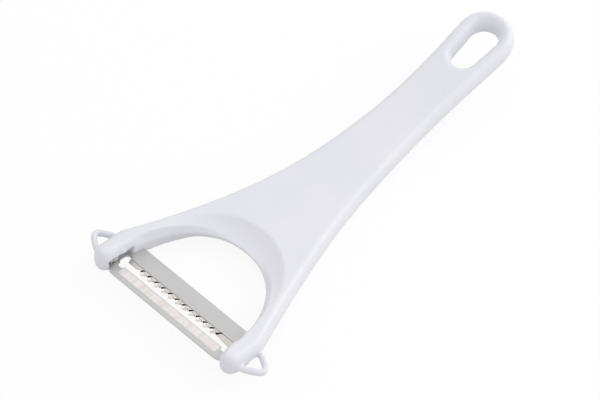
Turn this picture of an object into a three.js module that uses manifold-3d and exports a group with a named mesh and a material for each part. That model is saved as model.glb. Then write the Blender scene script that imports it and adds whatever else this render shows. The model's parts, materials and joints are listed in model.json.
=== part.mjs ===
// Julienne cutter: a Y-shaped moulded handle with a swivelling toothed blade between its two arms.
// Millimetres, +X along the blade, +Y along the handle to the hang hole, +Z up.
// The origin is under the middle of the part, on the surface that its belly rests on.
import * as THREE from 'three';
import { mergeVertices } from 'three/addons/utils/BufferGeometryUtils.js';
import { TessellateModifier } from 'three/addons/modifiers/TessellateModifier.js';
import Module from 'manifold-3d';

// Handle, seen from above: stations along Y, each measured from the one before.
const SHOULDER_FROM_PIVOT = 36;
const SHOULDER_HALF_WIDTH = 24.9;
const PALM_FROM_SHOULDER = 30;
const PALM_HALF_WIDTH = 16.6;
const GRIP_FROM_PALM = 30;
const GRIP_HALF_WIDTH = 12;
const WAIST_FROM_GRIP = 32;
const WAIST_HALF_WIDTH = 10.2;
const TAIL_FROM_WAIST = 44.8;
const TAIL_HALF_WIDTH = 11.4;
const THICKNESS = 9;
const EDGE_INSET = 3;
const END_FULLNESS = 2.2;

// The handle bows up at both ends, about a lowest point under the palm.
const BOW_RADIUS = 412;
const BOW_LOW_POINT = 69.5;
const BELLY_FLAT_DEPTH = 0.25;

// Open arch between the arms, narrowest in the middle of the thickness: a wide round-over on the upper face,
// and a scoop under the crown that lets the peeled strips slide out.
const ARM_GAP = 53.8;
const ARCH_DEPTH = 35.5;
const ARCH_FULLNESS = 2.17;
const ARCH_FLARE = 7;
const ARM_FLARE = 1.8;
const CROWN_SCOOP = 15;
const ARM_UNDERCUT = 0.3;
const SCOOP_FULLNESS = 1.65;

// Slot that the handle hangs by.
const HANG_SLOT_TAIL_WALL = 5.2;
const HANG_SLOT_LENGTH = 21.2;
const HANG_SLOT_TAIL_RADIUS = 5.4;
const HANG_SLOT_PALM_RADIUS = 4.5;

// Pods at the ends of the arms, which hold the blade, each with a hood over the blade's end.
const POD_WIDTH = 7.7;
const POD_HEIGHT = 10;
const POD_LAND = 1;
const POD_TIP_REACH = 6.1;
const POD_LENGTH = 12.5;
const POD_DROP = 0.6;
const PIVOT_DROP = 0.3;
const HOOD_REACH = 0.9;
const HOOD_ABOVE_PIVOT = 0.9;

// Loops on the outer side of the pods, for taking out potato eyes.
const LOOP_REACH = 7.6;
const LOOP_THICKNESS = 2.2;
const LOOP_HEIGHT = 2.8;
const LOOP_REAR = 8.4;
const LOOP_TIP = 3.2;
const LOOP_FRONT = -2.8;
const LOOP_BULGE = 1.1;
const LOOP_DROP = 1.1;

// Blade, stamped from one sheet, with a window between its front and rear strips.
const SHEET = 0.7;
const SHEET_BELOW_PIVOT = 2;
const EDGE_BEHIND_PIVOT = 1.2;
const FRONT_STRIP_WIDTH = 6.5;
const WINDOW_WIDTH = 4.4;
const WINDOW_CORNER = 1.4;
const REAR_STRIP_WIDTH = 6.6;
const GRIND_WIDTH = 3.6;
const GRIND_END_MARGIN = 3.8;
const RELIEF_RADIUS = 1.5;
const EDGE_LEFT_THICK = 0.15;
const NECK_WIDTH = 1.7;
const NECK_STEP = 1.4;
const EAR_RADIUS = 1.8;

// Toothed flange, folded down from the rear strip. A slanted slit frees each tooth, which is twisted out of the
// flange and stays joined to it beyond the upper end of its slit.
const FLANGE_ANGLE = THREE.MathUtils.degToRad(47);
const FLANGE_DROP = 1.85;
const FLANGE_END_BLANK = 6;
const TOOTH_PITCH = 3.38;
const SLIT_LOW = 1.2;
const SLIT_HIGH = 0.15;
const SLIT_RUN = 2.1;
const SLIT_KERF = 0.3;
const TOOTH_WIDTH = 1.4;
const TOOTH_ROOT = 0.8;
const TOOTH_TWIST = THREE.MathUtils.degToRad(40);

// Pivot pins, staked into the blade's ears and turning in blind bores in the pods.
const PIN_JOURNAL_RADIUS = 1.2;
const PIN_JOURNAL_LENGTH = 3.4;
const PIN_SPIGOT_RADIUS = 0.7;
const PIN_RIVET_RADIUS = 1.1;
const PIN_RIVET_THICKNESS = 0.5;

// Fits: running and seating clearances, and the angle at which the blade meets its stops.
const CLEARANCE = 0.3;
const BLADE_END_GAP = 0.35;
const EAR_DEPTH_IN_POD = 2;
const STOP_ANGLE = THREE.MathUtils.degToRad(25);

// Fineness of the facets.
const FACET_EDGE = 9;
const FACET_SPLITS = 24;
const EDGE_LEVELS = 5;
const TAIL_STEPS = 9;
const SIDE_STEPS = 30;
const TIP_STEPS = 8;
const ARCH_STEPS = 18;
const SLOT_STEPS = 14;
const LOOP_STEPS = 20;
const ROUND_STEPS = 12;
const CORNER_STEPS = 5;
const TWIST_STEPS = 5;
const WELD_DISTANCE = 1e-4;

const wasm = await Module();
wasm.setup();

// Turns a closed three.js geometry into a solid for joins and cuts.
function solid(geometry) {
  const bare = new THREE.BufferGeometry();
  bare.setAttribute('position', geometry.getAttribute('position'));
  bare.setIndex(geometry.getIndex());
  const merged = mergeVertices(bare, WELD_DISTANCE);
  const corners = merged.getIndex().array;
  const kept = [];
  for (let i = 0; i < corners.length; i += 3) {
    const [a, b, c] = corners.slice(i, i + 3);
    if (a !== b && b !== c && c !== a) kept.push(a, b, c);
  }
  const vertProperties = new Float32Array(merged.getAttribute('position').array);
  return new wasm.Manifold(new wasm.Mesh({ numProp: 3, vertProperties, triVerts: new Uint32Array(kept) }));
}

// Gives a solid back as a named mesh.
function piece(name, body, material) {
  const { vertProperties, triVerts } = body.getMesh();
  const geometry = new THREE.BufferGeometry();
  geometry.setAttribute('position', new THREE.BufferAttribute(vertProperties, 3));
  geometry.setIndex(new THREE.BufferAttribute(triVerts, 1));
  geometry.computeVertexNormals();
  const mesh = new THREE.Mesh(geometry, material);
  mesh.name = name;
  return mesh;
}

// Height of the bowed middle surface above its lowest point.
function bowHeight(y) {
  return BOW_RADIUS - Math.sqrt(BOW_RADIUS ** 2 - (y - BOW_LOW_POINT) ** 2);
}

// Splits long edges and lifts every vertex onto the bow.
function bowed(geometry) {
  const fine = new TessellateModifier(FACET_EDGE, FACET_SPLITS).modify(geometry);
  const position = fine.getAttribute('position');
  for (let i = 0; i < position.count; i += 1) {
    position.setZ(i, position.getZ(i) + bowHeight(position.getY(i)));
  }
  return fine;
}

// Quarter of a superellipse about (0, centreY), from the axis of symmetry out to the full half width.
function roundedEnd(halfWidth, centreY, reach, fullness, steps) {
  const points = [];
  for (let i = 0; i <= steps; i += 1) {
    const angle = (i / steps) * (Math.PI / 2);
    const x = halfWidth * Math.sin(angle) ** (2 / fullness);
    const y = centreY + reach * Math.cos(angle) ** (2 / fullness);
    points.push(new THREE.Vector2(x, y));
  }
  return points;
}

// How far a quarter round of the given depth has drawn in, part of the way along it.
function roundInset(size, along, depth) {
  const share = THREE.MathUtils.clamp(along / depth, 0, 1);
  return size * (1 - Math.sqrt(1 - share ** 2));
}

const palmFromPivot = SHOULDER_FROM_PIVOT + PALM_FROM_SHOULDER;
const gripFromPivot = palmFromPivot + GRIP_FROM_PALM;
const waistFromPivot = gripFromPivot + WAIST_FROM_GRIP;
const tailEnd = waistFromPivot + TAIL_FROM_WAIST;

const armInner = ARM_GAP / 2;
const podOuter = armInner + POD_WIDTH;
const podRadius = (POD_WIDTH + HOOD_REACH) / 2;
const podMiddle = podOuter - podRadius;
const podTipCentre = podRadius - POD_TIP_REACH;
const headTilt = Math.asin(BOW_LOW_POINT / BOW_RADIUS);
const pivotHeight = bowHeight(0) - PIVOT_DROP;
const podCentreBelowPivot = POD_DROP - PIVOT_DROP;
const loopBelowPivot = LOOP_DROP - PIVOT_DROP;

// Moves a solid from the head's own frame, at the pivot axis, into the handle's frame.
const headFrame = new THREE.Matrix4()
  .makeTranslation(0, 0, pivotHeight)
  .multiply(new THREE.Matrix4().makeRotationX(-headTilt));

function mirrored(points) {
  return points.map((point) => new THREE.Vector2(-point.x, point.y)).reverse();
}

// Closed solid through a stack of outlines that all have the same number of points.
function loft(rings) {
  const size = rings[0].length;
  const corners = rings.flat();
  const faces = THREE.ShapeUtils.triangulateShape(rings[0].map((p) => new THREE.Vector2(p.x, p.y)), []);
  const top = size * (rings.length - 1);
  const index = [];
  faces.forEach(([a, b, c]) => index.push(a, c, b, top + a, top + b, top + c));
  for (let ring = 0; ring < rings.length - 1; ring += 1) {
    for (let i = 0; i < size; i += 1) {
      const a = ring * size + i;
      const b = ring * size + ((i + 1) % size);
      index.push(a, b, b + size, a, b + size, a + size);
    }
  }
  const geometry = new THREE.BufferGeometry().setFromPoints(corners);
  geometry.setIndex(index);
  return geometry;
}

// Right half of the plan at one height: tail, side, tip of the arm and arch.
function halfOutline(height) {
  const inset = roundInset(EDGE_INSET, Math.abs(height), THICKNESS / 2);
  const scoop = roundInset(1, -height, THICKNESS / 2);
  const flare = roundInset(1, height, THICKNESS / 2);
  const archHalf = armInner + ARM_UNDERCUT * scoop + ARM_FLARE * flare;
  const archDepth = ARCH_DEPTH + CROWN_SCOOP * scoop + ARCH_FLARE * flare;
  const archFullness = THREE.MathUtils.lerp(ARCH_FULLNESS, SCOOP_FULLNESS, scoop);
  const tailCentre = tailEnd - TAIL_HALF_WIDTH;
  const tailRadius = TAIL_HALF_WIDTH - inset;
  const tail = roundedEnd(tailRadius, tailCentre, tailRadius, END_FULLNESS, TAIL_STEPS);
  const side = new THREE.SplineCurve([
    new THREE.Vector2(tailRadius, tailCentre),
    new THREE.Vector2(WAIST_HALF_WIDTH - inset, waistFromPivot),
    new THREE.Vector2(GRIP_HALF_WIDTH - inset, gripFromPivot),
    new THREE.Vector2(PALM_HALF_WIDTH - inset, palmFromPivot),
    new THREE.Vector2(SHOULDER_HALF_WIDTH - inset, SHOULDER_FROM_PIVOT),
    new THREE.Vector2(podOuter - inset, LOOP_REAR),
  ]);
  const tipHalf = (podOuter - inset - archHalf) / 2;
  const tipReach = podRadius - inset;
  const tip = new THREE.EllipseCurve(archHalf + tipHalf, podTipCentre, tipHalf, tipReach, 0, -Math.PI, true);
  const arch = roundedEnd(archHalf, 0, archDepth, archFullness, ARCH_STEPS).reverse();
  return [...tail, ...side.getPoints(SIDE_STEPS).slice(1), ...tip.getPoints(TIP_STEPS), ...arch];
}

// Round-edged plate of the handle and arms, following the bow.
function handlePlate() {
  const rings = [];
  for (let level = -EDGE_LEVELS; level <= EDGE_LEVELS; level += 1) {
    const height = (THICKNESS / 2) * Math.sin((level / EDGE_LEVELS) * (Math.PI / 2));
    const right = halfOutline(height);
    const outline = [...right, ...mirrored(right).slice(1, -1)].reverse();
    rings.push(outline.map((p) => new THREE.Vector3(p.x, p.y, height)));
  }
  return solid(bowed(loft(rings).toNonIndexed()));
}

// Outline of the hang slot, wider at the tail than at the palm, grown on all sides.
function slotOutline(grown) {
  const slotEnd = tailEnd - HANG_SLOT_TAIL_WALL;
  const tailCentre = slotEnd - HANG_SLOT_TAIL_RADIUS;
  const palmCentre = slotEnd - HANG_SLOT_LENGTH + HANG_SLOT_PALM_RADIUS;
  const lean = Math.asin((HANG_SLOT_TAIL_RADIUS - HANG_SLOT_PALM_RADIUS) / (tailCentre - palmCentre));
  const tailRadius = HANG_SLOT_TAIL_RADIUS + grown;
  const palmRadius = HANG_SLOT_PALM_RADIUS + grown;
  const tail = new THREE.EllipseCurve(0, tailCentre, tailRadius, tailRadius, -lean, Math.PI + lean);
  const palm = new THREE.EllipseCurve(0, palmCentre, palmRadius, palmRadius, Math.PI + lean, -lean);
  return [...tail.getPoints(SLOT_STEPS), ...palm.getPoints(SLOT_STEPS)];
}

// Cutter for the hang slot, with the same round edge on both faces as the rest of the handle.
function hangSlot() {
  const rings = [];
  for (let level = -EDGE_LEVELS; level <= EDGE_LEVELS; level += 1) {
    const angle = (level / EDGE_LEVELS) * (Math.PI / 2);
    const height = (THICKNESS / 2) * Math.sin(angle);
    const outline = slotOutline(EDGE_INSET * (1 - Math.cos(angle)));
    rings.push(outline.map((p) => new THREE.Vector3(p.x, p.y, height)));
  }
  const under = rings[0].map((p) => p.clone().setZ(-THICKNESS));
  const over = rings[0].map((p) => p.clone().setZ(THICKNESS));
  return solid(bowed(loft([under, ...rings, over]).toNonIndexed()));
}

// Deep rounded pod under the end of an arm, with the same tip as the arm in plan.
function pod(side) {
  const rear = POD_LENGTH - POD_TIP_REACH - podRadius;
  const outline = new THREE.Shape();
  outline.absarc(side * podMiddle, podTipCentre, podRadius, -Math.PI, 0, false);
  outline.absarc(side * podMiddle, rear, podRadius, 0, Math.PI, false);
  const body = new THREE.ExtrudeGeometry(outline, {
    depth: POD_LAND,
    bevelThickness: (POD_HEIGHT - POD_LAND) / 2,
    bevelSize: EDGE_INSET,
    bevelOffset: -EDGE_INSET,
    bevelSegments: EDGE_LEVELS,
    curveSegments: TIP_STEPS,
  });
  body.translate(0, 0, -POD_LAND / 2 - podCentreBelowPivot);
  return solid(body.applyMatrix4(headFrame));
}

// Side loop: a rounded bar that leaves the arm, turns at the tip and comes back to the pod.
function sideLoop(side) {
  const root = podOuter - LOOP_THICKNESS;
  const reach = podOuter + LOOP_REACH - LOOP_THICKNESS / 2;
  const halfway = (root + reach) / 2;
  const corners = [
    [root, LOOP_REAR],
    [halfway, (LOOP_REAR + LOOP_TIP) / 2 + LOOP_BULGE],
    [reach, LOOP_TIP],
    [halfway, (LOOP_FRONT + LOOP_TIP) / 2 - LOOP_BULGE],
    [root, LOOP_FRONT],
  ];
  const path = new THREE.CatmullRomCurve3(
    corners.map(([x, y]) => new THREE.Vector3(side * x, y, -loopBelowPivot)),
  );
  const section = new THREE.Shape();
  section.absellipse(0, 0, LOOP_HEIGHT / 2, LOOP_THICKNESS / 2, 0, 2 * Math.PI);
  const bar = new THREE.ExtrudeGeometry(section, {
    steps: LOOP_STEPS,
    curveSegments: CORNER_STEPS,
    extrudePath: path,
  });
  return solid(bar.applyMatrix4(headFrame));
}

// Places a profile drawn in the (Y, Z) plane of the head along X, from one distance to another.
function alongX(profile, side, from, to) {
  const prism = new THREE.ExtrudeGeometry(profile, {
    depth: to - from,
    bevelEnabled: false,
    curveSegments: ROUND_STEPS,
  });
  prism.applyMatrix4(new THREE.Matrix4().makeBasis(
    new THREE.Vector3(0, 1, 0),
    new THREE.Vector3(0, 0, 1),
    new THREE.Vector3(1, 0, 0),
  ));
  prism.translate(side > 0 ? from : -to, 0, 0);
  return prism;
}

// Lines of the blade, measured along Y from the pivot axis and out along X.
const sheetTop = SHEET / 2 - SHEET_BELOW_PIVOT;
const sheetBottom = -SHEET / 2 - SHEET_BELOW_PIVOT;
const bladeFront = EDGE_BEHIND_PIVOT - FRONT_STRIP_WIDTH;
const foldLine = EDGE_BEHIND_PIVOT + WINDOW_WIDTH;
const neckRear = foldLine + NECK_STEP;
const bladeRear = foldLine + REAR_STRIP_WIDTH;
const frontStripHalf = armInner - CLEARANCE;
const earOuter = armInner + EAR_DEPTH_IN_POD;
const pocketFloor = earOuter + CLEARANCE;
const windowHalf = earOuter - NECK_WIDTH;
const grindHalf = windowHalf - GRIND_END_MARGIN;
const flangeHalf = archHalfWidth(bladeRear) - BLADE_END_GAP;
const toothCount = Math.floor((2 * (flangeHalf - FLANGE_END_BLANK)) / TOOTH_PITCH);
const firstSlit = -(toothCount * TOOTH_PITCH + SLIT_RUN) / 2;
const lastSlit = firstSlit + toothCount * TOOTH_PITCH;

// Half the width between the arms at a distance behind the pivot axis, where they are closest.
function archHalfWidth(y) {
  return armInner * (1 - (y / ARCH_DEPTH) ** ARCH_FULLNESS) ** (1 / ARCH_FULLNESS);
}

function circle(radius) {
  return new THREE.Shape().absarc(0, 0, radius, 0, 2 * Math.PI);
}

// Fan-shaped part of the pocket that the neck of the blade swings in, up to its stops.
function swingFan() {
  const reach = Math.hypot(neckRear, sheetBottom) + CLEARANCE;
  const axis = new THREE.Vector2();
  return new THREE.Shape([
    new THREE.Vector2(-SHEET, sheetTop + SHEET),
    new THREE.Vector2(reach, sheetTop).rotateAround(axis, STOP_ANGLE),
    new THREE.Vector2(reach, sheetTop),
    new THREE.Vector2(reach, sheetBottom).rotateAround(axis, -STOP_ANGLE),
    new THREE.Vector2(-SHEET, sheetBottom - SHEET),
  ]);
}

// Room for an ear to swing: close over its round top, and wider below for its lower corners.
function earRoom() {
  const room = new THREE.Shape();
  room.absarc(0, 0, EAR_RADIUS / Math.cos(STOP_ANGLE) + CLEARANCE, 0, Math.PI, false);
  room.absarc(0, 0, Math.hypot(EAR_RADIUS, sheetBottom) + CLEARANCE, Math.PI, 2 * Math.PI, false);
  return room;
}

// Space under the hood, open to below, that the end of the front strip swings in.
function underHood() {
  const rear = neckRear + CLEARANCE;
  const space = new THREE.Shape();
  space.moveTo(-POD_LENGTH, HOOD_ABOVE_PIVOT);
  space.lineTo(-POD_LENGTH, -POD_HEIGHT);
  space.lineTo(rear, -POD_HEIGHT);
  space.lineTo(rear, HOOD_ABOVE_PIVOT);
  return space;
}

// Pocket in the inner face of a pod, with the pivot's blind bore at its centre.
function podPocket(side) {
  const mouth = armInner - 2 * HOOD_REACH;
  const boreEnd = pocketFloor + PIN_JOURNAL_LENGTH + CLEARANCE;
  const cuts = [
    alongX(earRoom(), side, armInner, pocketFloor),
    alongX(circle(PIN_JOURNAL_RADIUS + CLEARANCE), side, armInner, boreEnd),
    alongX(swingFan(), side, mouth, pocketFloor),
    alongX(underHood(), side, mouth, armInner),
  ];
  return cuts.map((cut) => solid(cut.applyMatrix4(headFrame))).reduce((joined, cut) => joined.add(cut));
}

// Removes a sliver under the palm so that the handle rests on a flat.
function bellyCut() {
  const slab = new THREE.BoxGeometry(2 * tailEnd, 2 * tailEnd, THICKNESS);
  return solid(slab.translate(0, 0, BELLY_FLAT_DEPTH - THICKNESS));
}

function handleFrame() {
  let body = handlePlate().subtract(hangSlot());
  for (const side of [-1, 1]) {
    body = body.add(pod(side)).add(sideLoop(side));
  }
  for (const side of [-1, 1]) {
    body = body.subtract(podPocket(side));
  }
  return body.subtract(bellyCut());
}

function bladeSheet() {
  const right = [
    [frontStripHalf, bladeFront],
    [frontStripHalf, -EAR_RADIUS],
    [earOuter, -EAR_RADIUS],
    [earOuter, neckRear],
    [archHalfWidth(neckRear) - BLADE_END_GAP, neckRear],
    [archHalfWidth(bladeRear) - BLADE_END_GAP, bladeRear],
  ].map(([x, y]) => new THREE.Vector2(x, y));
  const outline = new THREE.Shape([...right, ...mirrored(right)]);
  const sheet = new THREE.ExtrudeGeometry(outline, { depth: SHEET, bevelEnabled: false });
  return solid(sheet.translate(0, 0, sheetBottom));
}

// Round relief beyond one end of the cutting edge, where the window reaches into the front strip.
function edgeRelief(side) {
  const punch = new THREE.ExtrudeGeometry(circle(RELIEF_RADIUS), {
    depth: 3 * SHEET,
    bevelEnabled: false,
    curveSegments: ROUND_STEPS,
  });
  const centre = side * (grindHalf + RELIEF_RADIUS);
  return solid(punch.translate(centre, EDGE_BEHIND_PIVOT, sheetBottom - SHEET));
}

// Window between the cutting edge and the fold, with rounded ends.
function bladeWindow() {
  const left = -windowHalf;
  const right = windowHalf;
  const corner = WINDOW_CORNER;
  const opening = new THREE.Shape();
  opening.absarc(right - corner, EDGE_BEHIND_PIVOT + corner, corner, -Math.PI / 2, 0, false);
  opening.absarc(right - corner, foldLine - corner, corner, 0, Math.PI / 2, false);
  opening.absarc(left + corner, foldLine - corner, corner, Math.PI / 2, Math.PI, false);
  opening.absarc(left + corner, EDGE_BEHIND_PIVOT + corner, corner, Math.PI, 1.5 * Math.PI, false);
  const punch = new THREE.ExtrudeGeometry(opening, {
    depth: 3 * SHEET,
    bevelEnabled: false,
    curveSegments: CORNER_STEPS,
  });
  const slot = solid(punch.translate(0, 0, sheetBottom - SHEET));
  return slot.add(edgeRelief(-1)).add(edgeRelief(1));
}

// Ground bevel that thins the front strip to its cutting edge.
function grindCut() {
  const profile = new THREE.Shape([
    new THREE.Vector2(EDGE_BEHIND_PIVOT - GRIND_WIDTH, sheetTop),
    new THREE.Vector2(EDGE_BEHIND_PIVOT, sheetBottom + EDGE_LEFT_THICK),
    new THREE.Vector2(EDGE_BEHIND_PIVOT + SHEET, sheetBottom + EDGE_LEFT_THICK),
    new THREE.Vector2(EDGE_BEHIND_PIVOT + SHEET, sheetTop + SHEET),
    new THREE.Vector2(EDGE_BEHIND_PIVOT - GRIND_WIDTH, sheetTop + SHEET),
  ]);
  return solid(alongX(profile, 1, -grindHalf, grindHalf));
}

// Ear bent up from the end of the sheet, with the hole that its pin is staked into.
function ear(side) {
  const outline = new THREE.Shape();
  outline.moveTo(-EAR_RADIUS, sheetBottom);
  outline.lineTo(EAR_RADIUS, sheetBottom);
  outline.absarc(0, 0, EAR_RADIUS, 0, Math.PI, false);
  outline.holes.push(new THREE.Path().absarc(0, 0, PIN_SPIGOT_RADIUS + CLEARANCE, 0, 2 * Math.PI));
  return solid(alongX(outline, side, earOuter - SHEET, earOuter));
}

// Moves a flange shape, drawn down from the fold, into its folded place on the sheet.
function foldDown(geometry) {
  geometry.rotateX(Math.PI + FLANGE_ANGLE);
  return geometry.translate(0, foldLine, -SHEET_BELOW_PIVOT);
}

// Plain part of the flange: a full-depth blank at each end, and between them a root that the slits cut to a zigzag.
// The last slit runs in over the blank.
function flangeStrip() {
  const edge = [
    [-flangeHalf, FLANGE_DROP],
    [firstSlit + SLIT_LOW - FLANGE_DROP, FLANGE_DROP],
  ];
  for (let index = 0; index <= toothCount; index += 1) {
    const slitStart = firstSlit + index * TOOTH_PITCH;
    edge.push([slitStart, SLIT_LOW], [slitStart + SLIT_RUN, SLIT_HIGH]);
  }
  edge.push([lastSlit + SLIT_KERF, SLIT_LOW + SLIT_KERF / 2]);
  edge.push([lastSlit + 2 * SLIT_KERF, FLANGE_DROP]);
  edge.push([flangeHalf, FLANGE_DROP], [flangeHalf, -SHEET / 2], [-flangeHalf, -SHEET / 2]);
  const strip = new THREE.Shape(edge.map(([x, y]) => new THREE.Vector2(x, y)));
  const geometry = new THREE.ExtrudeGeometry(strip, { depth: SHEET, bevelEnabled: false });
  return solid(foldDown(geometry.translate(0, 0, -SHEET / 2)));
}

// One tooth: a tab below its slit, flat where it joins the flange and twisted more and more to its free end.
function tooth(index) {
  const slit = new THREE.Vector2(SLIT_RUN, SLIT_HIGH - SLIT_LOW);
  const across = new THREE.Vector2(-slit.y, slit.x).normalize();
  const section = [[-1, -1], [1, -1], [1, 1], [-1, 1]];
  const rings = [];
  for (let step = 0; step <= TWIST_STEPS; step += 1) {
    const along = (step / TWIST_STEPS) * (slit.length() + TOOTH_ROOT);
    const twist = TOOTH_TWIST * (1 - THREE.MathUtils.smoothstep(along, 0, slit.length()));
    const turn = new THREE.Matrix4().makeRotationZ(-twist);
    rings.push(section.map(([u, v]) => (
      new THREE.Vector3(u * TOOTH_WIDTH / 2, v * SHEET / 2, along).applyMatrix4(turn)
    )));
  }
  const tab = loft(rings);
  const start = new THREE.Vector3(firstSlit + index * TOOTH_PITCH, SLIT_LOW, 0);
  tab.applyMatrix4(new THREE.Matrix4().makeBasis(
    new THREE.Vector3(across.x, across.y, 0),
    new THREE.Vector3(0, 0, 1),
    new THREE.Vector3(slit.x, slit.y, 0).normalize(),
  ));
  start.addScaledVector(new THREE.Vector3(across.x, across.y, 0), SLIT_KERF + TOOTH_WIDTH / 2);
  return solid(foldDown(tab.translate(start.x, start.y, start.z)));
}

function julienneBlade() {
  let body = bladeSheet().subtract(bladeWindow()).subtract(grindCut());
  body = body.add(flangeStrip());
  for (let index = 0; index < toothCount; index += 1) {
    body = body.add(tooth(index));
  }
  return body.add(ear(-1)).add(ear(1));
}

// Stepped pin: rivet head inside the ear, spigot through it and journal in the pod's bore.
function pivotPin() {
  const rivetEnd = earOuter - SHEET - CLEARANCE;
  const shoulder = earOuter + CLEARANCE;
  const profile = [
    [0, rivetEnd - PIN_RIVET_THICKNESS],
    [PIN_RIVET_RADIUS, rivetEnd - PIN_RIVET_THICKNESS],
    [PIN_RIVET_RADIUS, rivetEnd],
    [PIN_SPIGOT_RADIUS, rivetEnd],
    [PIN_SPIGOT_RADIUS, shoulder],
    [PIN_JOURNAL_RADIUS, shoulder],
    [PIN_JOURNAL_RADIUS, shoulder + PIN_JOURNAL_LENGTH],
    [0, shoulder + PIN_JOURNAL_LENGTH],
  ].map(([radius, distance]) => new THREE.Vector2(radius, distance));
  return new THREE.LatheGeometry(profile, 2 * ROUND_STEPS).rotateZ(-Math.PI / 2);
}

const whitePlastic = new THREE.MeshStandardMaterial({ color: 0xf0f0f4, roughness: 0.45, metalness: 0 });
const stampedSteel = new THREE.MeshStandardMaterial({ color: 0xc6c6c4, roughness: 0.38, metalness: 1 });
const pinSteel = new THREE.MeshStandardMaterial({ color: 0xb4b4b4, roughness: 0.3, metalness: 1 });

const cutter = new THREE.Group();
cutter.add(piece('handle_frame', handleFrame(), whitePlastic));

// The blade and its pins turn together about the pivot axis, at rest in line with the arms.
const swivel = new THREE.Group();
swivel.position.z = pivotHeight;
swivel.rotation.x = -headTilt;
swivel.add(piece('julienne_blade', julienneBlade(), stampedSteel));
const rightPin = solid(pivotPin());
const leftPin = solid(pivotPin().rotateY(Math.PI));
swivel.add(piece('right_pivot_pin', rightPin, pinSteel));
swivel.add(piece('left_pivot_pin', leftPin, pinSteel));
cutter.add(swivel);

// Stand the part on its belly, with the origin under the middle of its box.
const box = new THREE.Box3().setFromObject(cutter, true);
cutter.position.y = -(box.min.y + box.max.y) / 2;
cutter.position.z = -box.min.z;

export default cutter;
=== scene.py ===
import json
import math

import bmesh
import bpy
import numpy as np
from mathutils import Matrix, Vector

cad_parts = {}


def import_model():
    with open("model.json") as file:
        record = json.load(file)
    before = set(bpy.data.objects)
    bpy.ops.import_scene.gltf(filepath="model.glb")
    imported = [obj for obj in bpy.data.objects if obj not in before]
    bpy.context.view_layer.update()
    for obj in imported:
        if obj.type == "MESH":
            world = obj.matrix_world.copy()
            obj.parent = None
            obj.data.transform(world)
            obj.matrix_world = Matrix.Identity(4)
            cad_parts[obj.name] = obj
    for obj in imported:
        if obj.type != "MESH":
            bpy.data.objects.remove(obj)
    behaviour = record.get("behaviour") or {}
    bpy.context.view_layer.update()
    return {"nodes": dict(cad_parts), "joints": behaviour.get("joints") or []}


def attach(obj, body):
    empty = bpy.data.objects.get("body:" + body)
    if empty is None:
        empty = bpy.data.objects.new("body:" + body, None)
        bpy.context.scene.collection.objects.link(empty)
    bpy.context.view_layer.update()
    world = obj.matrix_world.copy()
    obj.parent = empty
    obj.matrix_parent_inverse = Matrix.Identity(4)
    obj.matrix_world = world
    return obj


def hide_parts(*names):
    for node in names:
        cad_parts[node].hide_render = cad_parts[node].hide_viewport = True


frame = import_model()

# Julienne cutter: a white moulded Y handle, a blade pressed from one steel sheet, and the two pins
# that it swivels on. Blade sizes are in millimetres in the head's own frame: X along the blade,
# Y to the rear, Z up from the pivot.
MM = 0.001
HEAD_TILT = math.radians(9.71)
SHEET = 0.7
SHEET_BELOW_PIVOT = 2.0
CUTTING_EDGE = 0.95
BLADE_FRONT = -4.7
FOLD_LINE = 5.6
NECK_REAR = 7.0
BLADE_REAR = 12.2
FRONT_HALF = 27.5
FRONT_CORNER = 2.5
NECK_HALF = 26.18
REAR_HALF = 25.3
WINDOW_HALF = 27.2
WINDOW_CORNER = 1.4
RELIEF_RADIUS = 1.5
EAR_OUTER = 28.9
EAR_RADIUS = 1.8
EAR_HOLE = 1.0
EAR_BEND = 0.6
BEND_STEPS = 4
NOTCH = 0.4
BROKEN_EDGE = 0.05
BROKEN_STEPS = 2
BROKEN_ANGLE = math.radians(50)
NEAR = 0.01
WELD = 0.001
CUT_SNAP = 0.00001

# How closely a face points along the ground bevel, and how far it turns from the sheet on a cut side.
BEVEL_MATCH = 0.999
CUT_SIDE = 0.4

# Ground bevel along the cutting edge, with a narrow second bevel at the edge itself.
GRIND_WIDTH = 3.75
GRIND_HALF = 23.4
EDGE_LEFT = 0.15
HONED_WIDTH = 0.35
HONED_RISE = 0.16

# Toothed flange: distances down the flange are measured from the fold.
FLANGE_ANGLE = math.radians(47)
FLANGE_LEFT = -25.2
FLANGE_RIGHT = 25.2
LEFT_DROP = 1.85
RIGHT_DROP = 2.85
BLANK_CORNER = (0.45, 0.75)
# Width of the band of painted shade along the fold.
FOLD_SHADE_WIDTH = 0.35
TOOTH_COUNT = 11
TOOTH_PITCH = 3.38
ROW_SHIFT = -0.5
SLIT_LOW = 1.1
SLIT_HIGH = 0.05
SLIT_RUN = 2.0
SLIT_KERF = 0.15
TOOTH_WIDTH = 2.05
TOOTH_ROOT = 0.6
TOOTH_RAKE = 0.8
TOOTH_SINK = 0.04
TOOTH_ROWS = 6
TOOTH_COLUMNS = 10
# Painted shade in the slits: a black band on each tab along its slit, narrowing to the free end, and a
# black band on the flange below the last slit.
SLIT_SHADE_BAND = 0.95
SLIT_SHADE_TAPER = 0.8
LAST_SHADE_BAND = 1.2
LAST_SHADE_REACH = 0.6
# Painted highlight: a near-white patch at each tab's free end.
HIGHLIGHT_ROWS = 4
HIGHLIGHT_COLUMNS = 5
TOOTH_TWIST = math.radians(42)

# Pivot pins, as radius and distance from the middle of the blade.
PIN_PROFILE = (
    (0.0, 27.4),
    (0.95, 27.4),
    (1.1, 27.55),
    (1.1, 27.9),
    (0.7, 27.9),
    (0.7, 29.2),
    (1.0, 29.2),
    (1.2, 29.4),
    (1.2, 32.4),
    (1.0, 32.6),
    (0.0, 32.6),
)
PIN_SIDES = 48
PIN_CORNER = math.radians(30)

# Fineness of the moulded handle.
VOXEL = 0.00045
RELAX_ROUNDS = 40
EDGE_ROUNDS = 5
RELAX_IN = 0.5
RELAX_OUT = -0.53

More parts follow.
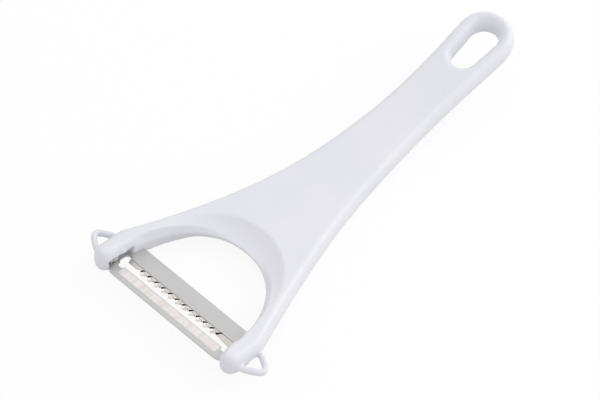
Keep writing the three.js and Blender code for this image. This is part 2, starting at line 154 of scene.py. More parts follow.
# Arch between the arms, in millimetres in plan from the pivot's axis, and the flare of its upper edge.
BOW_RADIUS = 412.0
BOW_LOW_POINT = 69.5
PIVOT_DROP = 0.3
HALF_THICKNESS = 4.5
ARCH_HALF = 26.9
ARCH_DEPTH = 35.5
ARCH_FULLNESS = 2.17
ARM_FLARE = 1.8
CROWN_FLARE = 7.0
FLARE_RANGE = (-0.5, 4.0)
FLARE_ROUNDS = 30
TINY = 1e-6
LIP_HEIGHT = 0.6
LIP_SHARE = 0.2
LIP_LEAN = 0.02
SCOOP_REACH = 1.34
SCOOP_HOLLOW = 1.6
ARM_SLOPE = 1.6
ARCH_START = 8.0
ARCH_FULL = 12.0

# Hoods over the blade's ends: how far their inner edges stand back, at places behind the pivot's axis.
HOOD_INNER = 26.5
HOOD_ROOT = 31.0
HOOD_PLACES = (-7.0, -3.0, 1.0, 5.0, 8.0)
LEFT_SETBACK = (0.0, 0.9, 1.0, 0.0, 0.0)
RIGHT_SETBACK = (0.0, 1.1, 0.5, 0.7, 0.0)

# Camera, fitted to the outline of the object in the photograph.
CAMERA_AZIMUTH = math.radians(41.46)
CAMERA_ELEVATION = math.radians(52.74)
CAMERA_ROLL = math.radians(2.65)
CAMERA_DISTANCE = 0.8711
CAMERA_AIM = Vector((-0.00548, -0.01346, -0.00153))
CAMERA_LENS = 145.3
CAMERA_SENSOR = 36

# Middle of a noise, and how strongly marks in the steel show.
NOISE_LOW = 0.3
NOISE_HIGH = 0.7
MARK_STRENGTH = 0.15

# Studio.
WORLD_LIGHT = 0.84
FLOOR_SIZE = 4.0
FLOOR_DROP = -0.0002
FLOOR_VEIL = 0.88
FLOOR_SHADE = 0.7
KEY_PLACE = (0.48, 0.82, 0.55)
KEY_SIZE = 0.8
KEY_POWER = 3.8

pivot = Vector(frame["joints"][0]["pos_m"])
head = Matrix.Translation(pivot) @ Matrix.Rotation(-HEAD_TILT, 4, "X") @ Matrix.Scale(MM, 4)


# Materials

def new_material(name):
    material = bpy.data.materials.new(name)
    material.use_nodes = True
    return material, material.node_tree, material.node_tree.nodes["Principled BSDF"]


def noise(tree, scale, stretch=(1, 1, 1), detail=3.0):
    """Noise on Object coordinates, stretched along an axis by a smaller factor there."""
    coords = tree.nodes.new("ShaderNodeTexCoord")
    mapping = tree.nodes.new("ShaderNodeMapping")
    mapping.inputs["Scale"].default_value = stretch
    texture = tree.nodes.new("ShaderNodeTexNoise")
    texture.inputs["Scale"].default_value = scale
    texture.inputs["Detail"].default_value = detail
    tree.links.new(coords.outputs["Object"], mapping.inputs["Vector"])
    tree.links.new(mapping.outputs["Vector"], texture.inputs["Vector"])
    return texture.outputs["Fac"]


def ranged(tree, value, low, high):
    """Maps the middle of a noise onto a range of plain numbers."""
    mapped = tree.nodes.new("ShaderNodeMapRange")
    mapped.inputs["From Min"].default_value = NOISE_LOW
    mapped.inputs["From Max"].default_value = NOISE_HIGH
    mapped.inputs["To Min"].default_value = low
    mapped.inputs["To Max"].default_value = high
    tree.links.new(value, mapped.inputs["Value"])
    return mapped.outputs["Result"]


def between(tree, value, dark, light):
    """Mixes two colours by a noise."""
    ramp = tree.nodes.new("ShaderNodeValToRGB")
    ramp.color_ramp.elements[0].position = NOISE_LOW
    ramp.color_ramp.elements[0].color = (*dark, 1)
    ramp.color_ramp.elements[1].position = NOISE_HIGH
    ramp.color_ramp.elements[1].color = (*light, 1)
    tree.links.new(value, ramp.inputs["Fac"])
    return ramp.outputs["Color"]


def bumped(tree, shader, height, strength, distance):
    bump = tree.nodes.new("ShaderNodeBump")
    bump.inputs["Strength"].default_value = strength
    bump.inputs["Distance"].default_value = distance
    tree.links.new(height, bump.inputs["Height"])
    tree.links.new(bump.outputs["Normal"], shader.inputs["Normal"])


def white_plastic():
    """Cool white moulded plastic with a soft sheen, a fine mould texture and faint uneven gloss."""
    material, tree, shader = new_material("white_plastic")
    clouds = noise(tree, 45)
    gloss = noise(tree, 260)
    grain = noise(tree, 1600, detail=2.0)
    tint = between(tree, clouds, (0.79, 0.79, 0.85), (0.82, 0.82, 0.87))
    tree.links.new(tint, shader.inputs["Base Color"])
    tree.links.new(ranged(tree, gloss, 0.34, 0.46), shader.inputs["Roughness"])
    bumped(tree, shader, grain, strength=0.08, distance=0.00003)
    shader.inputs["IOR"].default_value = 1.49
    shader.inputs["Subsurface Weight"].default_value = 0.12
    shader.inputs["Subsurface Radius"].default_value = (0.0012, 0.0012, 0.0014)
    shader.inputs["Subsurface Scale"].default_value = 1.0
    return material


def steel(name, dark, light, rough, stretch, scale, depth):
    """Bare stainless steel with the marks of rolling or grinding drawn out along one way."""
    material, tree, shader = new_material(name)
    marks = noise(tree, scale, stretch)
    tree.links.new(between(tree, marks, dark, light), shader.inputs["Base Color"])
    tree.links.new(ranged(tree, marks, *rough), shader.inputs["Roughness"])
    bumped(tree, shader, marks, MARK_STRENGTH, depth)
    shader.inputs["Metallic"].default_value = 1.0
    return material


plastic = white_plastic()
rolled_steel = steel(
    "rolled_steel",
    dark=(0.56, 0.56, 0.56),
    light=(0.60, 0.60, 0.595),
    rough=(0.42, 0.52),
    stretch=(0.05, 1, 1),
    scale=2200,
    depth=0.00001,
)
# Painted light: the sheet's steel painted lighter on the flange and its teeth, for the light that they
# catch.
lit_flange_steel = steel(
    "lit_flange_steel",
    dark=(0.60, 0.58, 0.56),
    light=(0.78, 0.75, 0.72),
    rough=(0.3, 0.42),
    stretch=(1, 0.3, 0.3),
    scale=900,
    depth=0.00001,
)
ground_steel = steel(
    "ground_steel",
    dark=(0.72, 0.68, 0.66),
    light=(0.90, 0.86, 0.85),
    rough=(0.2, 0.34),
    stretch=(1, 0.08, 0.08),
    scale=700,
    depth=0.00002,
)
# Painted shade: the sheet's steel darkened along the fold, where the bend turns away from the light.
fold_shade_steel = steel(
    "fold_shade_steel",
    dark=(0.32, 0.30, 0.28),
    light=(0.46, 0.44, 0.42),
    rough=(0.4, 0.5),
    stretch=(0.1, 1, 1),
    scale=900,
    depth=0.00001,
)
# Painted highlight: near-white glossy steel standing in for the glint at each tooth's free end.
highlight_steel = steel(
    "highlight_steel",
    dark=(0.92, 0.91, 0.90),
    light=(0.98, 0.97, 0.96),
    rough=(0.1, 0.2),
    stretch=(1, 0.3, 0.3),
    scale=900,
    depth=0.00001,
)
# Painted shade: near-black steel on the cut walls, and on the tabs and the flange beside the slits,
# where the slits lie in shadow.
slit_shade_steel = steel(
    "slit_shade_steel",
    dark=(0.018, 0.012, 0.012),
    light=(0.045, 0.032, 0.032),
    rough=(0.5, 0.65),
    stretch=(1, 1, 0.1),
    scale=1800,
    depth=0.00003,
)
turned_steel = steel(
    "turned_steel",
    dark=(0.58, 0.58, 0.58),
    light=(0.64, 0.64, 0.64),
    rough=(0.55, 0.65),
    stretch=(1, 0.1, 0.1),
    scale=2500,
    depth=0.00001,
)


# Mesh helpers

def new_piece(name, bm):
    mesh = bpy.data.meshes.new(name)
    bm.to_mesh(mesh)
    bm.free()
    piece = bpy.data.objects.new(name, mesh)
    bpy.context.scene.collection.objects.link(piece)
    return piece


def settle(piece):
    """Turns the evaluated piece into a plain mesh and removes its modifiers."""
    graph = bpy.context.evaluated_depsgraph_get()
    mesh = bpy.data.meshes.new_from_object(piece.evaluated_get(graph))
    piece.modifiers.clear()
    old = piece.data
    piece.data = mesh
    bpy.data.meshes.remove(old)
    mesh.name = piece.name


def relax(mesh, rounds):
    """Smooths facets away without shrinking the form: each round pulls in and then lets out again."""
    count = len(mesh.vertices)
    points = np.empty(3 * count)
    mesh.vertices.foreach_get("co", points)
    points = points.reshape(-1, 3)
    ends = np.empty(2 * len(mesh.edges), int)
    mesh.edges.foreach_get("vertices", ends)
    first, second = ends.reshape(-1, 2).T
    neighbours = np.bincount(ends, minlength=count)[:, None]
    for step in range(2 * rounds):
        share = RELAX_OUT if step % 2 else RELAX_IN
        total = np.empty_like(points)
        for axis in range(3):
            total[:, axis] = np.bincount(first, points[second, axis], count)
            total[:, axis] += np.bincount(second, points[first, axis], count)
        points += share * (total / neighbours - points)
    mesh.vertices.foreach_set("co", points.ravel())
    mesh.update()


def arc(cx, cy, radius, start, end, steps=6):
    """Points of an arc, from one angle to another in degrees."""
    angles = [math.radians(start + (end - start) * i / steps) for i in range(steps + 1)]
    return [(cx + radius * math.cos(a), cy + radius * math.sin(a)) for a in angles]


def mirrored(points):
    return [(-x, y) for x, y in reversed(points)]


def bent(distance, radius, angle):
    """How far along and how far up a point of a bent sheet lies, at a distance along the flat sheet."""
    turned = min(distance / radius, angle)
    beyond = max(distance - radius * angle, 0)
    along = radius * math.sin(turned) + beyond * math.cos(angle)
    up = radius * (1 - math.cos(turned)) + beyond * math.sin(angle)
    return along, up


# Moulded handle

def bow_height(y):
    """Height of the handle's bowed middle surface, at a distance behind the pivot's axis."""
    return BOW_RADIUS - np.sqrt(BOW_RADIUS ** 2 - (y - BOW_LOW_POINT) ** 2)


def arch_shares(x, y, share):
    """The arch's outline, grown by a share of the flare, as parts along X and Y that make 1 on it."""
    along_x = (abs(x) / (ARCH_HALF + ARM_FLARE * share)) ** ARCH_FULLNESS
    along_y = (np.maximum(y, 0) / (ARCH_DEPTH + CROWN_FLARE * share)) ** ARCH_FULLNESS
    return along_x, along_y


def flare_share(x, y):
    """How far across the flare a place in plan lies, from 0 at the arch's wall to 1 at the top face."""
    low = np.full_like(x, FLARE_RANGE[0])
    high = np.full_like(x, FLARE_RANGE[1])
    for _ in range(FLARE_ROUNDS):
        middle = (low + high) / 2
        beyond = sum(arch_shares(x, y, middle)) > 1
        low = np.where(beyond, middle, low)
        high = np.where(beyond, high, middle)
    return (low + high) / 2


def edge_height(share, flare, crown):
    """Height of the arch's upper edge across the flare: hollow at the crown, plain along the arms."""
    hollow = np.clip(share / SCOOP_REACH, 0, 1) ** SCOOP_HOLLOW
    plain = np.clip(share * flare / ARM_SLOPE, 0, 1)
    rise = crown * hollow + (1 - crown) * plain
    return LIP_HEIGHT + (HALF_THICKNESS - LIP_HEIGHT) * rise


def scoop_arch(points):
    """Shapes the arch's upper edge: a lip above the wall, and a slope from there to the top face."""
    x, y, z = points.T
    height = z - PIVOT_DROP - bow_height(y) + bow_height(0)
    share = flare_share(x, y)
    along_x, along_y = arch_shares(x, y, share)
    normal_x = along_x / np.where(abs(x) < TINY, TINY, x)
    normal_y = along_y / np.maximum(y, TINY)
    steepness = np.maximum(np.hypot(normal_x, normal_y), TINY)
    grown_x = along_x * ARM_FLARE / (ARCH_HALF + ARM_FLARE * share)
    grown_y = along_y * CROWN_FLARE / (ARCH_DEPTH + CROWN_FLARE * share)
    flare = np.maximum((grown_x + grown_y) / steepness, ARM_FLARE)
    crown = np.clip((flare - ARM_FLARE) / (CROWN_FLARE - ARM_FLARE), 0, 1)

    angle = np.arctan2(height / HALF_THICKNESS, 1 - share)
    on_edge = (angle > 0) & (angle < math.pi / 2)
    angle = np.where(on_edge, angle, 0)
    turned = angle / (math.pi / 2)
    edge_in = np.interp(turned, (0, LIP_SHARE, 1), (0, LIP_LEAN, 1))
    slope_up = edge_height(edge_in, flare, crown)
    edge_up = np.where(turned < LIP_SHARE, LIP_HEIGHT * turned / LIP_SHARE, slope_up)
    moved_in = on_edge * (edge_in - 1 + np.cos(angle)) * flare
    moved_up = on_edge * (edge_up - HALF_THICKNESS * np.sin(angle))
    on_top = (share >= 1) & (height > HALF_THICKNESS / 2)
    moved_up = np.where(on_top, np.minimum(edge_height(share, flare, crown) - height, 0), moved_up)
    fade = np.clip((y - ARCH_START) / (ARCH_FULL - ARCH_START), 0, 1)
    points[:, 0] += fade * moved_in * normal_x / steepness
    points[:, 1] += fade * moved_in * normal_y / steepness
    points[:, 2] += fade * moved_up


def set_back_hoods(points):
    """Sets the inner edges of the hoods back, so that the ends of the blade show beside the pods."""
    x, y, z = points.T
    behind = y * math.cos(HEAD_TILT) - z * math.sin(HEAD_TILT)
    left = np.interp(behind, HOOD_PLACES, LEFT_SETBACK)
    right = np.interp(behind, HOOD_PLACES, RIGHT_SETBACK)
    share = np.clip((HOOD_ROOT - abs(x)) / (HOOD_ROOT - HOOD_INNER), 0, 1)
    points[:, 0] += np.where(x < 0, -left, right) * share


def shape_edges(mesh):
    """Shapes the arch's edge and the hoods, in millimetres from the pivot."""
    points = np.empty(3 * len(mesh.vertices))
    mesh.vertices.foreach_get("co", points)
    points = (points.reshape(-1, 3) - np.array(pivot)) / MM
    scoop_arch(points)
    set_back_hoods(points)
    mesh.vertices.foreach_set("co", (points * MM + np.array(pivot)).ravel())
    mesh.update()


def handle_frame():
    """One moulding: the solid's form, smoothed, with filleted inner corners and shaped edges."""
    bm = bmesh.new()
    bm.from_mesh(frame["nodes"]["handle_frame"].data)
    bmesh.ops.remove_doubles(bm, verts=bm.verts, dist=WELD * MM)
    piece = new_piece("handle_moulding", bm)
    remesh = piece.modifiers.new("Remesh", "REMESH")
    remesh.mode = "VOXEL"
    remesh.voxel_size = VOXEL
    settle(piece)
    relax(piece.data, RELAX_ROUNDS)
    shape_edges(piece.data)
    relax(piece.data, EDGE_ROUNDS)
    piece.data.shade_smooth()
    piece.data.materials.clear()
    piece.data.materials.append(plastic)
    return piece


# Pressed blade

# A tooth's materials: the flange's steel painted lighter, painted shade along the slit, and a painted
# highlight at the free end.
TOOTH_MATERIALS = (lit_flange_steel, slit_shade_steel, highlight_steel)
ear_bend = EAR_OUTER - SHEET / 2 - EAR_BEND
ear_flat = ear_bend + EAR_BEND * math.pi / 2 + SHEET_BELOW_PIVOT - EAR_BEND
first_slit = ROW_SHIFT - (TOOTH_COUNT * TOOTH_PITCH + SLIT_RUN) / 2
last_slit = first_slit + TOOTH_COUNT * TOOTH_PITCH
flange_down = Vector((0, -math.cos(FLANGE_ANGLE), -math.sin(FLANGE_ANGLE)))
flange_out = Vector((0, -math.sin(FLANGE_ANGLE), math.cos(FLANGE_ANGLE)))
fold = Vector((0, FOLD_LINE, -SHEET_BELOW_PIVOT))


def half_outline():
    """Right half of the flat blank, from the front edge round the ear to the rear edge."""
    return [
        *arc(FRONT_HALF - FRONT_CORNER, BLADE_FRONT + FRONT_CORNER, FRONT_CORNER, -90, 0),
        (FRONT_HALF, -EAR_RADIUS),
        (ear_bend, -EAR_RADIUS),
        *arc(ear_flat, 0, EAR_RADIUS, -90, 90, 12),
        (ear_bend, EAR_RADIUS),
        (ear_bend, EAR_RADIUS + NOTCH),
        (EAR_OUTER, EAR_RADIUS + NOTCH),
        (EAR_OUTER, NECK_REAR),
        (NECK_HALF, NECK_REAR),
        (REAR_HALF, BLADE_REAR),
    ]


def window_end(flange_end, drop):
    """Right end of the window: relief past the cutting edge, round corners and a notch at the fold."""
    corner = WINDOW_HALF - WINDOW_CORNER
    return [
        *arc(GRIND_HALF + RELIEF_RADIUS, CUTTING_EDGE, RELIEF_RADIUS, 180, 365, 18),
        *arc(corner, CUTTING_EDGE + WINDOW_CORNER, WINDOW_CORNER, -65, 0),
        *arc(corner, FOLD_LINE - WINDOW_CORNER, WINDOW_CORNER, 0, 90),
        (corner, FOLD_LINE + NOTCH),
        (flange_end, FOLD_LINE + NOTCH),
        (flange_end, FOLD_LINE - drop),
    ]


def window_outline():
    """Window behind the cutting edge. Its rear side is the flange's lower edge, slit for each tooth."""
    edge = [(last_slit + BLANK_CORNER[0], SLIT_LOW + BLANK_CORNER[1])]
    edge.append((last_slit + SLIT_KERF, SLIT_LOW + SLIT_KERF))
    for index in reversed(range(TOOTH_COUNT + 1)):
        start = first_slit + index * TOOTH_PITCH
        edge.append((start + SLIT_RUN, SLIT_HIGH))
        edge.append((start, SLIT_LOW))
    edge.append((first_slit + SLIT_LOW - LEFT_DROP, LEFT_DROP))
    right = window_end(FLANGE_RIGHT, RIGHT_DROP)
    left = mirrored(window_end(-FLANGE_LEFT, LEFT_DROP))
    return [*right, *((x, FOLD_LINE - down) for x, down in edge), *left]


def blade_sheet():
    """The whole blank, with the flange folded down and the ears bent up."""
    bm = bmesh.new()
    right = half_outline()
    ear_holes = [arc(side * ear_flat, 0, EAR_HOLE, 0, 345, 23) for side in (-1, 1)]
    for loop in ([*right, *mirrored(right)], window_outline(), *ear_holes):
        corners = [bm.verts.new((x, y, 0)) for x, y in loop]
        for a, b in zip(corners, corners[1:] + corners[:1]):
            bm.edges.new((a, b))
    bmesh.ops.triangle_fill(bm, use_beauty=True, edges=bm.edges[:])
    # Lower edge of the band of painted shade below the last slit.
    band_drop = SLIT_LOW + SLIT_KERF + LAST_SHADE_BAND - SLIT_HIGH
    band_run = SLIT_RUN + LAST_SHADE_REACH - SLIT_KERF
    band_end = last_slit + SLIT_KERF + band_run
    # Cuts at the fold, at the edge of the painted shade along the fold, at the edge of the painted
    # shade below the last slit, and along the slits.
    cuts = [
        ((0, FOLD_LINE, 0), (0, 1, 0)),
        ((0, FOLD_LINE - FOLD_SHADE_WIDTH, 0), (0, 1, 0)),
        ((band_end, FOLD_LINE - SLIT_HIGH, 0), (band_drop, -band_run, 0)),
        ((0, FOLD_LINE - SLIT_HIGH, 0), (0, 1, 0)),
    ]
    for step in range(BEND_STEPS + 1):
        start = ear_bend + step / BEND_STEPS * EAR_BEND * math.pi / 2
        cuts += [((start, 0, 0), (1, 0, 0)), ((-start, 0, 0), (1, 0, 0))]
    for place, normal in cuts:
        everything = bm.verts[:] + bm.edges[:] + bm.faces[:]
        bmesh.ops.bisect_plane(bm, geom=everything, dist=CUT_SNAP, plane_co=place, plane_no=normal)
    for v in bm.verts:
        x, y, _ = v.co
        v.co = (x, y, -SHEET_BELOW_PIVOT)
        on_flange = FLANGE_LEFT - NEAR < x < FLANGE_RIGHT + NEAR
        if on_flange and FOLD_LINE - RIGHT_DROP - NEAR < y < FOLD_LINE:
            v.co = fold + flange_down * (FOLD_LINE - y) + Vector((x, 0, 0))
        if abs(x) > ear_bend and abs(y) < EAR_RADIUS + NOTCH / 2:
            along, up = bent(abs(x) - ear_bend, EAR_BEND, math.pi / 2)
            v.co = (math.copysign(ear_bend + along, x), y, up - SHEET_BELOW_PIVOT)
    bmesh.ops.recalc_face_normals(bm, faces=bm.faces)
    piece = new_piece("blade_sheet", bm)
    wall = piece.modifiers.new("Sheet", "SOLIDIFY")
    wall.thickness = SHEET
    wall.offset = 0
    wall.use_even_offset = True
    settle(piece)
    return piece


def grind(piece):
    """Grinds the upper side of the front strip down to its cutting edge."""
    top = SHEET / 2 - SHEET_BELOW_PIVOT
    bottom = top - SHEET + EDGE_LEFT
    profile = [
        (CUTTING_EDGE - GRIND_WIDTH, top),
        (CUTTING_EDGE - HONED_WIDTH, bottom + HONED_RISE),
        (CUTTING_EDGE, bottom),
        (CUTTING_EDGE + SHEET, bottom),
        (CUTTING_EDGE + SHEET, top + SHEET),
        (CUTTING_EDGE - GRIND_WIDTH, top + SHEET),
    ]
    bm = bmesh.new()
    side = bm.faces.new([bm.verts.new((-GRIND_HALF, y, z)) for y, z in profile])
    swept = bmesh.ops.extrude_face_region(bm, geom=[side])["geom"]
    far = [part for part in swept if isinstance(part, bmesh.types.BMVert)]
    bmesh.ops.translate(bm, verts=far, vec=(2 * GRIND_HALF, 0, 0))
    bmesh.ops.recalc_face_normals(bm, faces=bm.faces)
    wheel = new_piece("grinding_wheel", bm)
    cut = piece.modifiers.new("Grind", "BOOLEAN")
    cut.object = wheel
    cut.operation = "DIFFERENCE"
    cut.solver = "EXACT"
    settle(piece)
    bpy.data.objects.remove(wheel)


def break_edges(piece):
    """Takes the sharpness off the sheet's edges."""
    bevel = piece.modifiers.new("Edges", "BEVEL")
    bevel.width = BROKEN_EDGE
    bevel.segments = BROKEN_STEPS
    bevel.limit_method = "ANGLE"
    bevel.angle_limit = BROKEN_ANGLE
    weighted = piece.modifiers.new("Normals", "WEIGHTED_NORMAL")
    weighted.keep_sharp = True
    piece.data.shade_smooth()
    settle(piece)


def tooth_material_index(column, row):
    """Index of a tooth's material: painted shade along the slit, a painted highlight at the free end,
    else the flange's steel painted lighter.
    """
    if row < 1:
        return TOOTH_MATERIALS.index(slit_shade_steel)
    if column < HIGHLIGHT_COLUMNS and row < HIGHLIGHT_ROWS:
        return TOOTH_MATERIALS.index(highlight_steel)
    return TOOTH_MATERIALS.index(lit_flange_steel)


def tooth():
    """One tab beside its slit, flat and let into the flange at its root, twisted to its free end."""
    slit = Vector((SLIT_RUN, SLIT_HIGH - SLIT_LOW))
    along = slit.normalized()
    across = Vector((-along.y, along.x))
    bm = bmesh.new()
    bmesh.ops.create_grid(bm, x_segments=TOOTH_COLUMNS, y_segments=TOOTH_ROWS, size=0.5)
    for face in bm.faces:
        middle = face.calc_center_median()
        column = (middle.x + 0.5) * TOOTH_COLUMNS
        row = (middle.y + 0.5) * TOOTH_ROWS
        face.material_index = tooth_material_index(column, row)
    for v in bm.verts:
        share = v.co.x + 0.5
        row = (v.co.y + 0.5) * TOOTH_ROWS
        # The first row of the tab is the band of painted shade along its slit, narrowing to the free
        # end.
        band = SLIT_SHADE_BAND * (1 - SLIT_SHADE_TAPER * share)
        width = min(row, 1) * band + max(row - 1, 0) / (TOOTH_ROWS - 1) * (TOOTH_WIDTH - band)
        rake = TOOTH_RAKE * width / TOOTH_WIDTH
        a = rake + share * (slit.length + TOOTH_ROOT - rake)
        b = width - TOOTH_WIDTH / 2
        free = 1 - min(a / slit.length, 1)
        twist = TOOTH_TWIST * free * free * (3 - 2 * free)
        place = along * a + across * (SLIT_KERF + TOOTH_WIDTH / 2 + b * math.cos(twist))
        out = b * math.sin(twist) - TOOTH_SINK * (1 - free)
        v.co = fold + Vector((first_slit + place.x, 0, 0))
        v.co += flange_down * (SLIT_LOW + place.y) + flange_out * out
    bmesh.ops.recalc_face_normals(bm, faces=bm.faces)
    piece = new_piece("blade_teeth", bm)
    wall = piece.modifiers.new("Sheet", "SOLIDIFY")
    wall.thickness = SHEET
    wall.offset = 0
    settle(piece)
    break_edges(piece)
    # Each face keeps the index of its material: lighter steel, painted shade or painted highlight.
    marks = [face.material_index for face in piece.data.polygons]
    piece.data.attributes.new("steel_index", "INT", "FACE").data.foreach_set("value", marks)
    return piece


def tooth_row_tree():
    """Repeats the tooth that it is given along the blade."""
    tree = bpy.data.node_groups.new("tooth_row", "GeometryNodeTree")
    sockets = tree.interface
    sockets.new_socket("Tooth", in_out="INPUT", socket_type="NodeSocketGeometry")
    sockets.new_socket("Count", in_out="INPUT", socket_type="NodeSocketInt")
    sockets.new_socket("Pitch", in_out="INPUT", socket_type="NodeSocketFloat")
    sockets.new_socket("Steel", in_out="INPUT", socket_type="NodeSocketMaterial")
    sockets.new_socket("Row", in_out="OUTPUT", socket_type="NodeSocketGeometry")
    given = tree.nodes.new("NodeGroupInput")
    offset = tree.nodes.new("ShaderNodeCombineXYZ")
    line = tree.nodes.new("GeometryNodeMeshLine")
    copies = tree.nodes.new("GeometryNodeInstanceOnPoints")
    real = tree.nodes.new("GeometryNodeRealizeInstances")
    choose_steel = tree.nodes.new("GeometryNodeSetMaterial")
    result = tree.nodes.new("NodeGroupOutput")
    for source, target in (
        (given.outputs["Pitch"], offset.inputs["X"]),
        (offset.outputs["Vector"], line.inputs["Offset"]),
        (given.outputs["Count"], line.inputs["Count"]),
        (line.outputs["Mesh"], copies.inputs["Points"]),
        (given.outputs["Tooth"], copies.inputs["Instance"]),
        (copies.outputs["Instances"], real.inputs["Geometry"]),
        (real.outputs["Geometry"], choose_steel.inputs["Geometry"]),
        (given.outputs["Steel"], choose_steel.inputs["Material"]),
        (choose_steel.outputs["Geometry"], result.inputs["Row"]),
    ):
        tree.links.new(source, target)
    return tree


def tooth_row():
    piece = tooth()
    row = piece.modifiers.new("Row", "NODES")
    row.node_group = tooth_row_tree()
    values = {"Count": TOOTH_COUNT, "Pitch": TOOTH_PITCH, "Steel": rolled_steel}
    for socket in row.node_group.interface.items_tree:
        if socket.name in values:
            row[socket.identifier] = values[socket.name]
    settle(piece)
    return piece


def dress_steel(piece, choose_steel):
    """Gives each face of a piece one of the steel materials, painted shade and painted highlights among
    them.
    """
    steels = [rolled_steel, ground_steel, fold_shade_steel, *TOOTH_MATERIALS]
    piece.data.materials.clear()
    for material in steels:
        piece.data.materials.append(material)
    for face in piece.data.polygons:
        face.material_index = steels.index(choose_steel(face))


def beside_last_slit(x, down):
    """Whether a place on the flange lies in the band of painted shade below the last slit."""
    slit_end = last_slit + SLIT_RUN
    slit_share = max(slit_end - x, 0) / (SLIT_RUN - SLIT_KERF)
    band_share = (slit_end + LAST_SHADE_REACH - x) / (SLIT_RUN + LAST_SHADE_REACH - SLIT_KERF)
    upper = SLIT_HIGH + slit_share * (SLIT_LOW + SLIT_KERF - SLIT_HIGH)
    lower = SLIT_HIGH + band_share * (SLIT_LOW + SLIT_KERF + LAST_SHADE_BAND - SLIT_HIGH)
    return last_slit + SLIT_KERF < x and upper < down < lower


def sheet_material(face):
    """Material of the sheet: ground bevel, painted shade along the fold and on the cuts, the flange's
    steel painted lighter, else rolled.
    """
    slope = math.atan2(SHEET - EDGE_LEFT - HONED_RISE, GRIND_WIDTH - HONED_WIDTH)
    bevel_out = Vector((0, math.sin(slope), math.cos(slope)))
    if face.normal.dot(bevel_out) > BEVEL_MATCH and face.center.y < CUTTING_EDGE:
        return ground_steel
    if abs(face.center.x) > WINDOW_HALF - WINDOW_CORNER or face.center.y < CUTTING_EDGE + SHEET:
        return rolled_steel
    # Painted shade on the cut walls at the fold, in the notches at its ends.
    beside_flange = FLANGE_LEFT - NOTCH < face.center.x < FLANGE_RIGHT + NOTCH
    beside_fold = abs(face.center.y - FOLD_LINE) < NOTCH + NEAR
    if beside_flange and beside_fold and abs(face.normal.z) < CUT_SIDE:
        return slit_shade_steel
    down = (face.center - fold).dot(flange_down)
    if down < 0:
        return rolled_steel
    # Painted shade on the flange's cut walls and in the band below the last slit.
    if abs(face.normal.dot(flange_out)) < CUT_SIDE or beside_last_slit(face.center.x, down):
        return slit_shade_steel
    # Painted shade along the fold; the rest of the flange in the steel painted lighter.
    return fold_shade_steel if down < FOLD_SHADE_WIDTH else lit_flange_steel


def tooth_material(face):
    """Material of each face of a tooth, by the steel index that the face carries: painted shade,
    painted highlight, or the flange's lighter steel.
    """
    return TOOTH_MATERIALS[face.id_data.attributes["steel_index"].data[face.index].value]


def pressed_blade():
    sheet = blade_sheet()
    grind(sheet)
    break_edges(sheet)
    dress_steel(sheet, sheet_material)
    teeth = tooth_row()
    dress_steel(teeth, tooth_material)
    for piece in (sheet, teeth):
        piece.data.transform(head)
    return sheet, teeth


def pivot_pin(name, side):
    """Turned pin: rivet head inside the ear, spigot through it, and journal in the pod's bore."""
    bm = bmesh.new()
    corners = [bm.verts.new((distance, radius, 0)) for radius, distance in PIN_PROFILE]
    edges = [bm.edges.new(pair) for pair in zip(corners, corners[1:])]
    bmesh.ops.spin(
        bm, geom=corners + edges, cent=(0, 0, 0), axis=(1, 0, 0), angle=2 * math.pi, steps=PIN_SIDES
    )
    bmesh.ops.remove_doubles(bm, verts=bm.verts, dist=WELD)
    if side < 0:
        half_turn = Matrix.Rotation(math.pi, 3, "Z")
        bmesh.ops.rotate(bm, verts=bm.verts, cent=(0, 0, 0), matrix=half_turn)
    bmesh.ops.recalc_face_normals(bm, faces=bm.faces)
    piece = new_piece(name, bm)
    piece.data.shade_smooth()
    piece.data.set_sharp_from_angle(angle=PIN_CORNER)
    piece.data.transform(head)
    piece.data.materials.append(turned_steel)
    return piece


# Stage

def background(tree, seen, unseen):
    """White for what the camera sees, also mirrored, and a plain level for the light on the object."""
    paths = tree.nodes.new("ShaderNodeLightPath")
    either = tree.nodes.new("ShaderNodeMath")
    either.operation = "MAXIMUM"
    any_of = tree.nodes.new("ShaderNodeMath")
    any_of.operation = "MAXIMUM"
    mix = tree.nodes.new("ShaderNodeMixShader")
    tree.links.new(paths.outputs["Is Camera Ray"], either.inputs[0])
    tree.links.new(paths.outputs["Is Glossy Ray"], either.inputs[1])
    tree.links.new(either.outputs["Value"], any_of.inputs[0])
    tree.links.new(paths.outputs["Is Transmission Ray"], any_of.inputs[1])
    tree.links.new(any_of.outputs["Value"], mix.inputs["Fac"])
    tree.links.new(unseen, mix.inputs[1])
    tree.links.new(seen, mix.inputs[2])
    return mix.outputs["Shader"]


def world():
    sky = bpy.data.worlds.new("studio")
    sky.use_nodes = True
    bpy.context.scene.world = sky
    tree = sky.node_tree
    tree.nodes.clear()
    seen = tree.nodes.new("ShaderNodeBackground")
    unseen = tree.nodes.new("ShaderNodeBackground")
    unseen.inputs["Strength"].default_value = WORLD_LIGHT
    seen.inputs["Color"].default_value = (1, 1, 1, 1)
    unseen.inputs["Color"].default_value = (1, 1, 1, 1)
    output = tree.nodes.new("ShaderNodeOutputWorld")
    shader = background(tree, seen.outputs["Background"], unseen.outputs["Background"])
    tree.links.new(shader, output.inputs["Surface"])


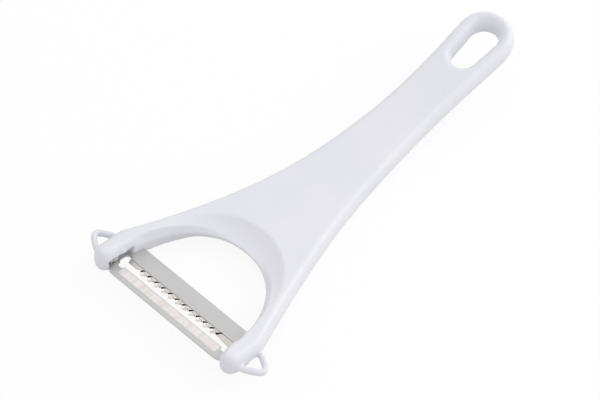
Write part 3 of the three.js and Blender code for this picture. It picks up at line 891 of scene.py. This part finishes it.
def floor():
    bm = bmesh.new()
    bmesh.ops.create_grid(bm, x_segments=1, y_segments=1, size=FLOOR_SIZE)
    piece = new_piece("floor", bm)
    piece.location.z = FLOOR_DROP
    material = bpy.data.materials.new("pale_floor")
    material.use_nodes = True
    tree = material.node_tree
    tree.nodes.clear()
    white = tree.nodes.new("ShaderNodeBsdfDiffuse")
    white.inputs["Color"].default_value = (1, 1, 1, 1)
    matt = tree.nodes.new("ShaderNodeBsdfDiffuse")
    matt.inputs["Color"].default_value = (FLOOR_SHADE, FLOOR_SHADE, FLOOR_SHADE, 1)
    veiled = tree.nodes.new("ShaderNodeMixShader")
    glow = tree.nodes.new("ShaderNodeEmission")
    veiled.inputs["Fac"].default_value = FLOOR_VEIL
    tree.links.new(white.outputs["BSDF"], veiled.inputs[1])
    tree.links.new(glow.outputs["Emission"], veiled.inputs[2])
    output = tree.nodes.new("ShaderNodeOutputMaterial")
    shader = background(tree, veiled.outputs["Shader"], matt.outputs["BSDF"])
    tree.links.new(shader, output.inputs["Surface"])
    piece.data.materials.append(material)


def softbox(name, place, size, power):
    lamp = bpy.data.lights.new(name, "AREA")
    lamp.size = size
    lamp.energy = power
    box = bpy.data.objects.new(name, lamp)
    box.location = place
    box.rotation_euler = (-Vector(place)).to_track_quat("-Z", "Y").to_euler()
    bpy.context.scene.collection.objects.link(box)


def camera():
    flat = math.cos(CAMERA_ELEVATION)
    right = math.sin(CAMERA_AZIMUTH) * flat
    front = math.cos(CAMERA_AZIMUTH) * flat
    back = Vector((right, -front, math.sin(CAMERA_ELEVATION)))
    lens = bpy.data.cameras.new("camera")
    lens.lens = CAMERA_LENS
    lens.sensor_width = CAMERA_SENSOR
    eye = bpy.data.objects.new("camera", lens)
    eye.rotation_mode = "QUATERNION"
    roll = Matrix.Rotation(CAMERA_ROLL, 3, "Z").to_quaternion()
    eye.rotation_quaternion = (-back).to_track_quat("-Z", "Y") @ roll
    eye.location = CAMERA_AIM + back * CAMERA_DISTANCE
    bpy.context.scene.collection.objects.link(eye)
    bpy.context.scene.camera = eye


def main():
    bpy.context.scene.view_settings.view_transform = "Standard"
    camera()
    world()
    floor()
    softbox("key_light", KEY_PLACE, KEY_SIZE, KEY_POWER)

    handle = handle_frame()
    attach(handle, "handle")
    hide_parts("handle_frame")

    sheet, teeth = pressed_blade()
    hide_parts("julienne_blade")
    for piece in (sheet, teeth):
        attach(piece, "blade")

    for side, hand in ((-1, "left"), (1, "right")):
        pin = pivot_pin(f"{hand}_pin", side)
        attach(pin, "blade")
        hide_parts(f"{hand}_pivot_pin")


main()
